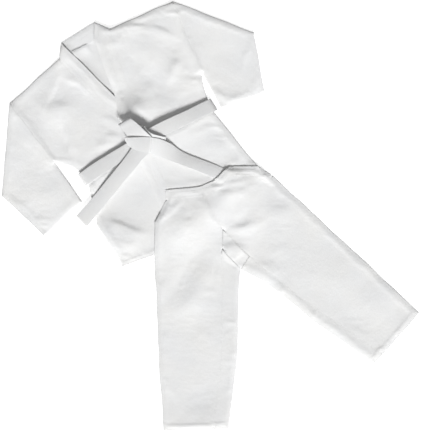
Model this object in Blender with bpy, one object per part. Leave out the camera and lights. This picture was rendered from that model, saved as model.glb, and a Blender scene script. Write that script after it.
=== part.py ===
"""Martial arts uniform laid out flat: wrap jacket, knotted belt, and trousers across the jacket's hem.

The origin is on the floor at the centre of the object's box, with Z up. Lengths are in metres.
Left and right are the wearer's. The jacket lies on its back, turned by JACKET_TURN, so its points are
given in its own frame: a runs from the nape line towards the wearer's left, b runs down the back.
The cloth pieces are thin slabs, laid one over the other. All of them bend only along the lines of one
grid in the jacket's frame, so two pieces that lie on each other keep the same gap everywhere.
"""

import math

import bpy
from mathutils import Vector
from mathutils.geometry import delaunay_2d_cdt

# Cloth and webbing.
CLOTH = 0.0025
LAPEL = 0.0035
BELT = 0.0030
BELT_TWO_TURNS = 0.0040
SLEEVE = 0.0080
GAP = 0.0005

# The grid along which the pieces bend. One of its rows holds the belt, across the waist.
CELL = 0.070
WAIST_ROW = 0.325

# The middle of everything laid out, which becomes the origin.
BOX_CENTRE = (-0.00142, 0.00069)

# The jacket's frame: where the nape lies on the floor, and how far the jacket is turned.
NAPE = (-0.3654, 0.5336)
JACKET_TURN = math.radians(33.0)

# The jacket, as (a, b). The shoulder points are where the sleeves' upper folds leave the body.
RIGHT_SHOULDER = (-0.297, 0.053)
RIGHT_ARMPIT = (-0.280, 0.271)
LEFT_SHOULDER = (0.264, 0.062)
LEFT_ARMPIT = (0.220, 0.281)
RIGHT_NECK = (-0.104, 0.022)
RIGHT_COLLAR = (-0.074, -0.014)
TOP_COLLAR = (0.038, -0.010)
LEFT_COLLAR = (0.065, 0.028)
RIGHT_HEM = (-0.281, 0.630)
MIDDLE_HEM = (-0.191, 0.651)
LEFT_HEM = (0.213, 0.640)
RIGHT_SIDE = [(-0.248, 0.302), (-0.235, 0.325), (-0.234, 0.377), (-0.253, 0.427), (-0.276, 0.488)]
LEFT_SIDE = [(0.209, 0.599), (0.196, 0.480), (0.188, 0.392), (0.195, 0.344), (0.203, 0.315)]
LAPEL_WIDTH = 0.046

# Free edges of the two fronts, from the neck to the hem. The left front lies over the right one.
RIGHT_EDGE = [RIGHT_COLLAR, (-0.030, 0.205), (0.030, 0.360), (0.070, 0.646)]
LEFT_EDGE = [TOP_COLLAR, (0.009, 0.034), (-0.030, 0.205), (-0.059, 0.283), (-0.079, 0.426), (-0.117, 0.648)]

# The sleeves, folded down beside the body, from the shoulder round the cuff to the armpit.
RIGHT_SLEEVE = [RIGHT_SHOULDER, (-0.463, 0.266), (-0.422, 0.431), (-0.276, 0.409), (-0.277, 0.339), RIGHT_ARMPIT]
LEFT_SLEEVE = [LEFT_SHOULDER, (0.411, 0.267), (0.343, 0.430), (0.210, 0.401), LEFT_ARMPIT]
SLEEVE_AXIS_HEIGHT = 0.014

# The belt across the front, from each side of the waist to the knot, as its upper and its lower edge.
RIGHT_BAND = [(-0.2375, 0.327), (-0.033, 0.332), (-0.033, 0.362), (-0.2375, 0.367)]
LEFT_BAND = [(0.1985, 0.349), (-0.0325, 0.332), (-0.0325, 0.374), (0.1985, 0.3945)]
BELT_SIDE = 0.0040

# The knot, as (x, y), and the belt's two ends: the middle of where each leaves the knot and its tip.
KNOT_OVER = [(-0.261, 0.258), (-0.226, 0.278), (-0.174, 0.233), (-0.241, 0.233)]
KNOT_UNDER = [(-0.2465, 0.2295), (-0.174, 0.2295), (-0.180, 0.188), (-0.217, 0.188), (-0.235, 0.203)]
KNOT_CORE = [
    (-0.236, 0.216),
    (-0.244, 0.254),
    (-0.220, 0.262),
    (-0.180, 0.236),
    (-0.1684, 0.2194),
    (-0.1817, 0.1860),
    (-0.1891, 0.1625),
    (-0.2191, 0.1875),
]
KNOT_CORE_HEIGHT = 0.0075
KNOT_OVER_HEIGHT = 0.0115
KNOT_UNDER_HEIGHT = 0.0095
KNOT_ROUNDING = 0.0035
BELT_WIDTH = 0.039
RIGHT_END = [(-0.2045, 0.1745), (-0.3745, -0.0305)]
END_AXIS_HEIGHT = 0.022
LEFT_END = [(-0.1740, 0.2025), (0.0770, 0.1020)]
LEFT_END_WIDTH = 0.036

# The trousers, as (x, y). The waist runs from the right hip to the left hip.
WAIST = [(-0.133, 0.075), (-0.032, 0.087), (0.006, 0.102), (0.052, 0.145), (0.136, 0.145), (0.177, 0.119)]
WAISTBAND = 0.028
RIGHT_OUTSEAM = [(-0.165, -0.017), (-0.165, -0.133), (-0.157, -0.302), (-0.139, -0.624)]
LEFT_OUTSEAM = [(0.258, 0.046), (0.374, -0.064), (0.606, -0.281)]
RIGHT_CUFF = (0.052, -0.618)
LEFT_CUFF = (0.473, -0.429)
CROTCH = (0.086, -0.156)
RIGHT_INSEAM = [(0.081, -0.215), (0.078, -0.389), RIGHT_CUFF]
LEFT_INSEAM = [(0.165, -0.197), (0.293, -0.302), LEFT_CUFF]
RISE = [(-0.0325, 0.087), (0.012, 0.003), (0.035, -0.041)]
RIGHT_GUSSET = [(0.032, -0.099), (0.033, -0.389), (0.006, -0.620)]
LEFT_GUSSET = [(0.113, -0.119), (0.258, -0.238), (0.500, -0.402)]
CROTCH_GUSSET = [(0.0365, -0.0425), (0.1105, -0.1190), (0.0862, -0.1545), (0.0330, -0.0970)]

# The knees: the line each lower leg folds about, as a point and the leg's downward direction.
RIGHT_KNEE = ((-0.038, -0.390), (0.0, -1.0))
LEFT_KNEE = ((0.331, -0.180), (0.754, -0.657))
KNEE_AXIS_HEIGHT = 0.014

COTTON = (0.86, 0.87, 0.88)
WEBBING = (0.80, 0.81, 0.82)

# Height of the top of what has been laid so far, at each corner of the grid.
laid_tops = {}


def clear_scene():
    for obj in list(bpy.data.objects):
        bpy.data.objects.remove(obj, do_unlink=True)


def to_world(point):
    """(x, y) on the floor of a point in the jacket's frame."""
    a, b = point
    cosine = math.cos(JACKET_TURN)
    sine = math.sin(JACKET_TURN)
    return (NAPE[0] + a * cosine + b * sine, NAPE[1] + a * sine - b * cosine)


def to_jacket(point):
    """(a, b) in the jacket's frame of a point on the floor."""
    dx = point[0] - NAPE[0]
    dy = point[1] - NAPE[1]
    cosine = math.cos(JACKET_TURN)
    sine = math.sin(JACKET_TURN)
    return (dx * cosine + dy * sine, dx * sine - dy * cosine)


def material(name, colour, roughness):
    """A plain Principled BSDF for one node."""
    made = bpy.data.materials.new(name)
    made.use_nodes = True
    shader = made.node_tree.nodes["Principled BSDF"]
    shader.inputs["Base Color"].default_value = (*colour, 1.0)
    shader.inputs["Metallic"].default_value = 0.0
    shader.inputs["Roughness"].default_value = roughness
    return made


def cotton(name):
    return material(name + "_cotton", COTTON, 0.9)


def webbing(name):
    return material(name + "_webbing", WEBBING, 0.85)


def add_node(name, points, faces, finish):
    """One closed mesh as an object of its own, its faces turned outwards."""
    mesh = bpy.data.meshes.new(name)
    placed = [(x - BOX_CENTRE[0], y - BOX_CENTRE[1], z) for x, y, z in points]
    mesh.from_pydata(placed, [], faces)
    mesh.materials.append(finish)
    mesh.validate()
    mesh.update()
    obj = bpy.data.objects.new(name, mesh)
    bpy.context.scene.collection.objects.link(obj)
    return obj


def shifted(path, distance):
    """The path moved sideways, to the right of its direction, with its corners mitred."""
    moved = []
    for index, point in enumerate(path):
        here = Vector(point)
        before = Vector(path[index - 1]) if index else None
        after = Vector(path[index + 1]) if index + 1 < len(path) else None
        first = (here - before).normalized() if before else (after - here).normalized()
        second = (after - here).normalized() if after else first
        along = (first + second).normalized()
        stretch = 1.0 / max(along.dot(first), 0.5)
        moved.append((here.x + along.y * distance * stretch, here.y - along.x * distance * stretch))
    return moved


def cut(outline, line, keep):
    """The part of an outline past a line (keep 1) or before it (keep -1), short of it by half a gap."""
    origin, direction = Vector(line[0]), Vector(line[1]).normalized()
    sides = [keep * (Vector(point) - origin).dot(direction) - GAP / 2 for point in outline]
    kept = []
    for index, point in enumerate(outline):
        here, there = sides[index - 1], sides[index]
        if here * there < 0:
            share = here / (here - there)
            start = Vector(outline[index - 1])
            kept.append(tuple(start + share * (Vector(point) - start)))
        if there >= 0:
            kept.append(tuple(point))
    return kept


def inside(outline, x, y):
    """Whether a point is inside a closed outline, by counting the sides to its right."""
    crossings = 0
    for index, (x1, y1) in enumerate(outline):
        x0, y0 = outline[index - 1]
        if (y0 > y) != (y1 > y) and x < x0 + (y - y0) * (x1 - x0) / (y1 - y0):
            crossings += 1
    return crossings % 2 == 1


def cell_of(a, b):
    """The grid cell that holds a point, and how far across it the point is, as fractions."""
    across = a / CELL
    down = (b - WAIST_ROW) / CELL
    column = math.floor(across + 1e-9)
    row = math.floor(down + 1e-9)
    return column, row, across - column, down - row


def corners_of(a, b):
    """The three grid corners of the facet that holds a point, each with its share of the height."""
    column, row, across, down = cell_of(a, b)
    if across >= down:
        middle = ((column + 1, row), across - down)
        return [((column, row), 1.0 - across), middle, ((column + 1, row + 1), down)]
    middle = ((column, row + 1), down - across)
    return [((column, row), 1.0 - down), middle, ((column + 1, row + 1), across)]


def grid_over(outline):
    """Points and edges of the grid's facets around an outline."""
    columns = [cell_of(a, b)[0] for a, b in outline]
    rows = [cell_of(a, b)[1] for a, b in outline]
    wide = range(min(columns), max(columns) + 2)
    tall = range(min(rows), max(rows) + 2)
    corners = [(column, row) for row in tall for column in wide]
    index = {corner: number for number, corner in enumerate(corners)}
    points = [(column * CELL, WAIST_ROW + row * CELL) for column, row in corners]
    edges = []
    for column, row in corners:
        for step in ((1, 0), (0, 1), (1, 1)):
            other = (column + step[0], row + step[1])
            if other in index:
                edges.append((index[column, row], index[other]))
    return points, edges


def facets(outline):
    """The outline cut into triangles that each lie in one facet of the grid."""
    points, edges = grid_over(outline)
    start = len(points)
    points += outline
    edges += [(start + k, start + (k + 1) % len(outline)) for k in range(len(outline))]
    vectors = [Vector(point) for point in points]
    made, _, faces, _, _, _ = delaunay_2d_cdt(vectors, edges, [], 0, 1e-7)
    kept = []
    for face in faces:
        middle = sum((made[corner] for corner in face), Vector((0.0, 0.0))) / 3.0
        if inside(outline, middle.x, middle.y):
            kept.append(list(face))
    used = sorted({corner for face in kept for corner in face})
    renumbered = {corner: number for number, corner in enumerate(used)}
    triangles = [[renumbered[corner] for corner in face] for face in kept]
    return [(made[corner].x, made[corner].y) for corner in used], triangles


def covered_corners(points, triangles):
    """The grid corners of every facet that a piece reaches into."""
    covered = set()
    for face in triangles:
        a = sum(points[corner][0] for corner in face) / 3.0
        b = sum(points[corner][1] for corner in face) / 3.0
        covered.update(corner for corner, _ in corners_of(a, b))
    return covered


def height(heights, a, b):
    return sum(share * heights.get(corner, 0.0) for corner, share in corners_of(a, b) if share > 1e-9)


def boundary(triangles):
    """The edges that only one triangle has, in that triangle's order."""
    edges = {(face[k], face[(k + 1) % 3]) for face in triangles for k in range(3)}
    return [edge for edge in edges if (edge[1], edge[0]) not in edges]


def slab(name, points, triangles, bottoms, thickness, finish):
    """A closed cloth piece from its facets: the underside, the upper side and the walls between."""
    count = len(points)
    vertices = []
    for lift in (0.0, thickness):
        for a, b in points:
            x, y = to_world((a, b))
            vertices.append((x, y, height(bottoms, a, b) + lift))
    faces = []
    for one, two, three in triangles:
        faces.append((one, two, three))
        faces.append((three + count, two + count, one + count))
    for one, two in boundary(triangles):
        faces.append((two, one, one + count, two + count))
    return add_node(name, vertices, faces, finish)


def lay(pieces):
    """Lays pieces that butt against each other on whatever is under them, as one layer."""
    laid = []
    tops = dict(laid_tops)
    for name, outline, thickness, finish in pieces:
        points, triangles = facets(outline)
        bottoms = {}
        for corner in covered_corners(points, triangles):
            bottoms[corner] = laid_tops[corner] + GAP if corner in laid_tops else 0.0
            tops[corner] = max(tops.get(corner, 0.0), bottoms[corner] + thickness)
        laid.append(slab(name, points, triangles, bottoms, thickness, finish(name)))
    laid_tops.update(tops)
    return laid


def lay_apart(name, outline, thickness, finish):
    """A piece straight on the floor, beside everything else."""
    points, triangles = facets(outline)
    return slab(name, points, triangles, {}, thickness, finish(name))


def top_at(point):
    """Height of the top of what has been laid, at a point on the floor."""
    a, b = to_jacket(point)
    return max(laid_tops.get(corner, 0.0) for corner, _ in corners_of(a, b))


def anticlockwise(outline):
    turns = sum(outline[k - 1][0] * y - x * outline[k - 1][1] for k, (x, y) in enumerate(outline))
    return list(outline) if turns > 0 else list(outline)[::-1]


def block(name, outline, bottom, tall, rounding, finish):
    """A block on an outline given in (x, y), its upper edge rounded off by a narrower top."""
    outline = anticlockwise(outline)
    middle = sum((Vector(point) for point in outline), Vector((0.0, 0.0))) / len(outline)
    vertices = []
    for inset, z in ((0.0, 0.0), (0.0, tall - rounding), (0.4 * rounding, tall - 0.4 * rounding), (rounding, tall)):
        for point in outline:
            toward = middle - Vector(point)
            place = Vector(point) + toward.normalized() * min(inset, toward.length / 2)
            vertices.append((place.x, place.y, bottom + z))
    count = len(outline)
    faces = [list(range(count))[::-1], list(range(3 * count, 4 * count))]
    for ring in range(3):
        low = ring * count
        for k in range(count):
            after = (k + 1) % count
            faces.append((low + k, low + after, low + count + after, low + count + k))
    return add_node(name, vertices, faces, finish(name))


def from_world(outline):
    return [to_jacket(point) for point in outline]


def jacket_back():
    outline = [RIGHT_COLLAR, TOP_COLLAR, LEFT_COLLAR, LEFT_SHOULDER, LEFT_ARMPIT]
    outline += LEFT_SIDE[::-1] + [LEFT_HEM, MIDDLE_HEM, RIGHT_HEM] + RIGHT_SIDE[::-1]
    outline += [RIGHT_ARMPIT, RIGHT_SHOULDER, RIGHT_NECK]
    lay([("jacket_back", outline, CLOTH, cotton)])


def jacket_fronts():
    """The right front, then the left front over it, each with its lapel along its free edge."""
    seam = shifted(RIGHT_EDGE, -LAPEL_WIDTH)
    seam[0] = RIGHT_NECK
    lapel = RIGHT_EDGE + seam[::-1]
    front = shifted(seam, -GAP) + [MIDDLE_HEM, RIGHT_HEM] + RIGHT_SIDE[::-1] + [RIGHT_ARMPIT, RIGHT_SHOULDER]
    collar = [(-0.072, -0.0135), (0.0375, -0.010), (0.007, 0.034), (-0.061, 0.026)]
    lay(
        [
            ("jacket_front_right", front, CLOTH, cotton),
            ("lapel_right", lapel, CLOTH, cotton),
            ("collar_back", shifted(collar + collar[:1], GAP)[:-1], CLOTH, cotton),
        ]
    )
    seam = shifted(LEFT_EDGE, LAPEL_WIDTH)
    seam[0] = LEFT_COLLAR
    seam[1] = (0.054, 0.050)
    lapel = LEFT_EDGE + seam[::-1]
    front = shifted(seam, GAP) + [LEFT_HEM] + LEFT_SIDE + [LEFT_ARMPIT, LEFT_SHOULDER]
    lay([("jacket_front_left", front, CLOTH, cotton), ("lapel_left", lapel, LAPEL, cotton)])


def sleeves():
    """Each sleeve starts half a gap from the crease where it meets the body."""
    right_line = (RIGHT_SHOULDER, (-0.9970, 0.0777))
    left_line = (LEFT_SHOULDER, (0.9800, 0.1970))
    right = lay_apart("right_sleeve", cut(RIGHT_SLEEVE, right_line, 1), SLEEVE, cotton)
    left = lay_apart("left_sleeve", cut(LEFT_SLEEVE, left_line, 1), SLEEVE, cotton)
    return right, left


def belt_back():
    outline = [(-0.2375, 0.330), (0.1985, 0.349), (0.1985, 0.388), (-0.2375, 0.369)]
    lay([("belt_back", outline, BELT, webbing)])


def belt_front():
    lay([("belt_band_right", RIGHT_BAND, BELT_TWO_TURNS, webbing), ("belt_band_left", LEFT_BAND, BELT_TWO_TURNS, webbing)])


def belt_sides():
    """The belt's turns round the two sides of the waist, from the back to the front."""
    for name, side, outward in (("belt_side_right", RIGHT_BAND, -1), ("belt_side_left", LEFT_BAND, 1)):
        a = side[0][0] + outward * GAP
        upper = side[0][1]
        lower = side[3][1]
        outer = a + outward * BELT_SIDE
        outline = [(a, upper), (outer, upper), (outer, lower), (a, lower)]
        world = [to_world(point) for point in outline]
        tall = top_at(to_world((side[0][0] - outward * 0.01, 0.36)))
        block(name, world, 0.0, tall, BELT_SIDE / 2, webbing)


def belt_ends():
    """The two ends, each a single thickness of belt that runs from the knot across the jacket."""
    pieces = []
    for name, line, width in (("belt_end_right", RIGHT_END, BELT_WIDTH), ("belt_end_left", LEFT_END, LEFT_END_WIDTH)):
        outline = shifted(line, width / 2) + shifted(line, -width / 2)[::-1]
        pieces.append((name, from_world(outline), BELT, webbing))
    return lay(pieces)


def belt_knot():
    """The knot: a core over the crossing, an upper strap and a lower strap folded over it."""
    bottom = top_at((-0.215, 0.229)) + GAP
    middle = bottom + KNOT_CORE_HEIGHT + GAP
    block("belt_knot_core", KNOT_CORE, bottom, KNOT_CORE_HEIGHT, KNOT_ROUNDING, webbing)
    block("belt_knot_over", KNOT_OVER, middle, KNOT_OVER_HEIGHT, KNOT_ROUNDING, webbing)
    block("belt_knot_under", KNOT_UNDER, middle, KNOT_UNDER_HEIGHT, KNOT_ROUNDING, webbing)


def leg_pieces(side, layer, outline, knee):
    """One panel of a leg, cut at the knee into the part on the trousers and the part that folds."""
    thigh = from_world(cut(outline, knee, -1))
    shin = from_world(cut(outline, knee, 1))
    return [(f"{side}_thigh_{layer}", thigh, CLOTH, cotton), (f"{side}_shin_{layer}", shin, CLOTH, cotton)]


def trousers_back():
    """The back panels, the waistband's back and the two lower legs' backs."""
    seam = shifted(WAIST, WAISTBAND)
    below = shifted(WAIST, WAISTBAND + GAP)
    band = WAIST + seam[::-1]
    centre = (0.060, -0.030)
    rise = [below[3], centre, CROTCH]
    right = below[:3] + rise + RIGHT_INSEAM + RIGHT_OUTSEAM[::-1]
    other = [(x + GAP, y) for x, y in rise]
    left = other[:1] + below[4:] + LEFT_OUTSEAM + LEFT_INSEAM[::-1] + other[:0:-1]
    pieces = [("waistband_back", from_world(band), CLOTH, cotton)]
    pieces += leg_pieces("right", "back", right, RIGHT_KNEE)
    pieces += leg_pieces("left", "back", left, LEFT_KNEE)
    return lay(pieces)


def trousers_front():
    """The front panels, the inseam gussets, the crotch gusset and the waistband's front."""
    below = shifted(WAIST, WAISTBAND + GAP)
    band = WAIST + shifted(WAIST, WAISTBAND)[::-1]
    rise = [below[1]] + RISE[1:]
    right = below[:1] + rise + RIGHT_GUSSET + RIGHT_OUTSEAM[::-1]
    other = [(x + GAP, y) for x, y in rise]
    left = other[:1] + below[2:] + LEFT_OUTSEAM + LEFT_GUSSET[::-1] + other[:0:-1]
    right_seam = [(x + GAP, y) for x, y in RIGHT_GUSSET]
    right_gusset = right_seam[:1] + [CROTCH] + RIGHT_INSEAM + right_seam[:0:-1]
    left_seam = [(x - GAP, y - GAP) for x, y in LEFT_GUSSET]
    left_gusset = [left_seam[0]] + left_seam[1:] + LEFT_INSEAM[::-1] + [(CROTCH[0] + 2 * GAP, CROTCH[1])]
    pieces = [("waistband_front", from_world(band), LAPEL, cotton)]
    pieces += leg_pieces("right", "front", right, RIGHT_KNEE)
    pieces += leg_pieces("left", "front", left, LEFT_KNEE)
    pieces += leg_pieces("right", "gusset", right_gusset, RIGHT_KNEE)
    pieces += leg_pieces("left", "gusset", left_gusset, LEFT_KNEE)
    pieces.append(("crotch_gusset", from_world(CROTCH_GUSSET), CLOTH, cotton))
    return lay(pieces)


def axis_empty(name, place, nodes):
    """An empty on a joint's axis, as the parent of the nodes that turn about it."""
    empty = bpy.data.objects.new(name, None)
    empty.location = (place[0] - BOX_CENTRE[0], place[1] - BOX_CENTRE[1], place[2])
    bpy.context.scene.collection.objects.link(empty)
    bpy.context.view_layer.update()
    for node in nodes:
        node.parent = empty
        node.matrix_parent_inverse = empty.matrix_world.inverted()


def middle_of(one, two, z):
    return ((one[0] + two[0]) / 2, (one[1] + two[1]) / 2, z)


def build():
    clear_scene()
    belt_back()
    jacket_back()
    jacket_fronts()
    right_sleeve, left_sleeve = sleeves()
    belt_front()
    belt_sides()
    belt_knot()
    right_end = belt_ends()[0]
    nodes = {node.name: node for node in trousers_back() + trousers_front()}
    right_crease = (to_world(RIGHT_SHOULDER), to_world(RIGHT_ARMPIT))
    left_crease = (to_world(LEFT_SHOULDER), to_world(LEFT_ARMPIT))
    axis_empty("right_sleeve_axis", middle_of(*right_crease, SLEEVE_AXIS_HEIGHT), [right_sleeve])
    axis_empty("left_sleeve_axis", middle_of(*left_crease, SLEEVE_AXIS_HEIGHT), [left_sleeve])
    axis_empty("belt_end_axis", (*RIGHT_END[0], END_AXIS_HEIGHT), [right_end])
    right_shin = [node for name, node in nodes.items() if name.startswith("right_shin")]
    left_shin = [node for name, node in nodes.items() if name.startswith("left_shin")]
    axis_empty("right_knee_axis", (*RIGHT_KNEE[0], KNEE_AXIS_HEIGHT), right_shin)
    axis_empty("left_knee_axis", (*LEFT_KNEE[0], KNEE_AXIS_HEIGHT), left_shin)


build()
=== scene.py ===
"""Martial arts uniform laid out flat: the cloth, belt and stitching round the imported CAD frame.

Every cloth layer is a height field on one raster over the whole object. A layer follows the CAD solids
it stands for, rests on the layer under it, and gets its folds as curves. Panels are then cut from the
field along the CAD outlines. Lengths are in metres, and in millimetres only in the tables that path_mm,
jacket_mm, rail_mm and fold read. Left and right are the wearer's.
"""

import math

import bpy
import numpy as np
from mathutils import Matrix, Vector
from mathutils.bvhtree import BVHTree
from mathutils.geometry import delaunay_2d_cdt
from mathutils.kdtree import KDTree


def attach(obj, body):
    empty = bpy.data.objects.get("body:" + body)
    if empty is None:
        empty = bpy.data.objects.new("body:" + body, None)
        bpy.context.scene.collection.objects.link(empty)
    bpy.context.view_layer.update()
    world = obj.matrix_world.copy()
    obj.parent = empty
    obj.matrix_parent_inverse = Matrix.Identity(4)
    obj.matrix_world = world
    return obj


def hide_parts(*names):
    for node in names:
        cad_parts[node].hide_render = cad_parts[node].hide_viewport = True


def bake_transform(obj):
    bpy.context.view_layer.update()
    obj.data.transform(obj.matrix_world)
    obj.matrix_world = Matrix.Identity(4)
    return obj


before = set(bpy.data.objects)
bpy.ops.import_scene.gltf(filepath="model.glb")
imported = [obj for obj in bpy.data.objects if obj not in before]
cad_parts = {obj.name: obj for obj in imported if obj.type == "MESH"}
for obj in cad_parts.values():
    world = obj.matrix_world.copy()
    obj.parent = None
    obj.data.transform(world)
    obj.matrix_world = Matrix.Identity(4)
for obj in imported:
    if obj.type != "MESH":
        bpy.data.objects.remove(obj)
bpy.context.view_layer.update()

# The raster that holds each layer's height.
STEP = 0.0025
CORNER = np.array([-0.655, -0.672])
COLUMNS, ROWS = 524, 540
GRID_X, GRID_Y = np.meshgrid(CORNER[0] + STEP * np.arange(COLUMNS), CORNER[1] + STEP * np.arange(ROWS))

# Cloth, in metres.
CLOTH = 0.0009
SEAM_GAP = 0.0003
PRESSED = 0.0006
PRESSED_WIDTH = 0.012
HEM_WIDTH = 0.013
HEM_STEP = 0.0006
HEM_EDGE = 0.0030
SPACING = 0.0042
CLEARANCE = 0.0004
ROLL = 0.0065
ROLL_RAILS = (0.0008, 0.0024, 0.0048)
SMOOTHING = 0.010
BAND_LIFT = 0.0004
BLANK = np.zeros((ROWS, COLUMNS))

# The jacket's frame: (a, b) runs across the jacket and down its back.
NAPE = np.array([-0.36398, 0.53291])
TURN = math.radians(33.0)
ACROSS = np.array([math.cos(TURN), math.sin(TURN)])
DOWN = np.array([math.sin(TURN), -math.cos(TURN)])


def metres(millimetres):
    """Millimetres as metres, to a hundredth of a millimetre."""
    return np.round(np.asarray(millimetres, float) * 100.0) / 1e5


def path_mm(*flat):
    """Points from their coordinates in millimetres: x, y, then the next x, y."""
    return metres(flat).reshape(-1, 2)


def rail_mm(*flat):
    """Points in space from their coordinates in millimetres."""
    return metres(flat).reshape(-1, 3)


def jacket(points):
    """Points of the jacket's frame on the floor."""
    return [tuple(NAPE + a * ACROSS + b * DOWN) for a, b in points]


def jacket_mm(*flat):
    """Points on the floor from their millimetres across and down the jacket."""
    return jacket(path_mm(*flat))


# ---------------------------------------------------------------- raster


def blurred(field, sigma):
    """The field smoothed by a Gaussian of that many metres."""
    rows = np.fft.fftfreq(ROWS, STEP)[:, None]
    columns = np.fft.rfftfreq(COLUMNS, STEP)[None, :]
    kept = np.exp(-2.0 * (math.pi * sigma) ** 2 * (rows**2 + columns**2))
    return np.fft.irfft2(np.fft.rfft2(field) * kept, s=field.shape)


def spread(field, mask, sigma):
    """The field smoothed inside a mask, and carried on smoothly outside it."""
    narrow = blurred(mask.astype(float), sigma)
    wide = blurred(mask.astype(float), 4.0 * sigma)
    near = blurred(field * mask, sigma) / np.maximum(narrow, 1e-6)
    far = blurred(field * mask, 4.0 * sigma) / np.maximum(wide, 1e-9)
    share = np.clip(narrow * 20.0, 0.0, 1.0)
    return near * share + far * (1.0 - share)


def noise(seed, sigma, amplitude):
    """Smooth random relief with that standard deviation."""
    rough = blurred(np.random.default_rng(seed).standard_normal((ROWS, COLUMNS)), sigma)
    return rough * amplitude / rough.std()


def sample(field, points):
    """The field's value at each point, bilinear."""
    place = (np.asarray(points)[:, :2] - CORNER) / STEP
    column = np.clip(place[:, 0], 0, COLUMNS - 1.001)
    row = np.clip(place[:, 1], 0, ROWS - 1.001)
    i, j = column.astype(int), row.astype(int)
    u, v = column - i, row - j
    low = field[j, i] * (1 - u) + field[j, i + 1] * u
    high = field[j + 1, i] * (1 - u) + field[j + 1, i + 1] * u
    return low * (1 - v) + high * v


def contains(outline, x, y):
    """Whether each point is inside a closed outline."""
    inside = np.zeros(x.shape, bool)
    for (x0, y0), (x1, y1) in zip(np.roll(outline, 1, axis=0), outline):
        if y0 != y1:
            crossing = x0 + (y - y0) * (x1 - x0) / (y1 - y0)
            inside ^= ((y0 > y) != (y1 > y)) & (x < crossing)
    return inside


def mask_of(outline):
    """The raster's points inside an outline."""
    mask = np.zeros((ROWS, COLUMNS), bool)
    low = np.maximum(((np.min(outline, axis=0) - CORNER) / STEP).astype(int) - 1, 0)
    high = ((np.max(outline, axis=0) - CORNER) / STEP).astype(int) + 2
    part = (slice(low[1], high[1]), slice(low[0], high[0]))
    mask[part] = contains(outline, GRID_X[part], GRID_Y[part])
    return mask


def nearest(path, x, y):
    """For each point its distance from a path, signed positive on the path's left, and its share along it."""
    path = np.asarray(path, float)
    steps = np.linalg.norm(np.diff(path, axis=0), axis=1)
    done = np.concatenate([[0.0], np.cumsum(steps)]) / steps.sum()
    best = np.full(x.shape, np.inf)
    side = np.zeros(x.shape)
    share = np.zeros(x.shape)
    for k, length in enumerate(steps):
        t = (path[k + 1] - path[k]) / length
        dx, dy = x - path[k, 0], y - path[k, 1]
        along = np.clip(dx * t[0] + dy * t[1], 0.0, length)
        far = np.hypot(dx - along * t[0], dy - along * t[1])
        closer = far < best
        best = np.where(closer, far, best)
        side = np.where(closer, t[0] * dy - t[1] * dx, side)
        share = np.where(closer, done[k] + (done[k + 1] - done[k]) * along / length, share)
    return best * np.where(side >= 0.0, 1.0, -1.0), share


def curve(points, spacing=0.004):
    """A smooth curve through the points."""
    points = np.asarray(points, float)
    padded = np.vstack([2 * points[0] - points[1], points, 2 * points[-1] - points[-2]])
    made = []
    for k in range(1, len(padded) - 2):
        p0, p1, p2, p3 = padded[k - 1 : k + 3]
        count = max(2, int(np.linalg.norm(p2 - p1) / spacing))
        t = (np.arange(count) / count)[:, None]
        bend = 2 * p0 - 5 * p1 + 4 * p2 - p3
        twist = 3 * p1 - p0 - 3 * p2 + p3
        made.append(p1 + 0.5 * t * ((p2 - p0) + t * (bend + t * twist)))
    return np.vstack(made + [points[-1:]])


def travelled(path):
    """How far along a path each of its points is."""
    return np.concatenate([[0.0], np.cumsum(np.linalg.norm(np.diff(path, axis=0), axis=1))])


def smoothstep(value):
    """0 up to 0 and 1 from 1 on, with a smooth step between."""
    t = np.clip(value, 0.0, 1.0)
    return t * t * (3.0 - 2.0 * t)


def fold(field, points, height, left, right, ends=(0.35, 0.35)):
    """Raises a ridge along a curve, or sinks a valley if the height is negative.

    left and right are how wide its two flanks are, all three in millimetres, and ends is how much of its
    length each end takes to rise.
    """
    height, left, right = metres((height, left, right))
    path = curve(points)
    reach = 3.0 * max(left, right)
    low = np.maximum(((path.min(axis=0) - reach - CORNER) / STEP).astype(int), 0)
    high = np.maximum(((path.max(axis=0) + reach - CORNER) / STEP).astype(int), 1)
    part = (slice(low[1], high[1]), slice(low[0], high[0]))
    far, share = nearest(path, GRID_X[part], GRID_Y[part])
    width = np.where(far > 0.0, left, right)
    flank = np.exp(-((far / width) ** 2))
    field[part] += height * flank * smoothstep(share / ends[0]) * smoothstep((1.0 - share) / ends[1])


def folds(field, table, placed=jacket_mm):
    """Folds from a table in millimetres: height, left and right width, then the curve's coordinates."""
    for height, left, right, *flat in table:
        fold(field, placed(*flat), height, left, right)


def settled(target, floor, rounds, pull):
    """Cloth that would lie at the target height, held up by the floor and bridging over its edges."""
    z = np.maximum(target, floor)
    for _ in range(rounds):
        mean = np.roll(z, 1, 0) + np.roll(z, -1, 0) + np.roll(z, 1, 1) + np.roll(z, -1, 1)
        z = np.maximum(0.25 * mean * (1.0 - pull) + target * pull, floor)
    return z


def draped(floor, sigma):
    """A smooth height over everything on the floor."""
    z = blurred(floor, sigma)
    for _ in range(8):
        z += 1.5 * blurred(np.maximum(floor - z, 0.0), 0.5 * sigma)
    return z


# ---------------------------------------------------------------- cloth simulation

COARSE = 3
SIMULATED_FRAMES = 22
GROWTH = 0.018
WRINKLES = 1.8
HIGHEST_WRINKLE = 0.0030
WRINKLE_SIZE, FOLD_SIZE = 0.0042, 0.030
TABLE_GAP = 0.0009
CLOTH_SETTINGS = {
    "quality": 5,
    "mass": 0.12,
    "tension_stiffness": 30.0,
    "compression_stiffness": 30.0,
    "shear_stiffness": 10.0,
    "bending_stiffness": 1.0,
    "air_damping": 4.0,
    "vertex_group_mass": "pins",
    "pin_stiffness": 20.0,
    "vertex_group_shrink": "larger",
    "shrink_min": 0.0,
    "shrink_max": -GROWTH,
}


def linked(name, data):
    """A new object in the scene."""
    obj = bpy.data.objects.new(name, data)
    bpy.context.scene.collection.objects.link(obj)
    return obj


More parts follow.
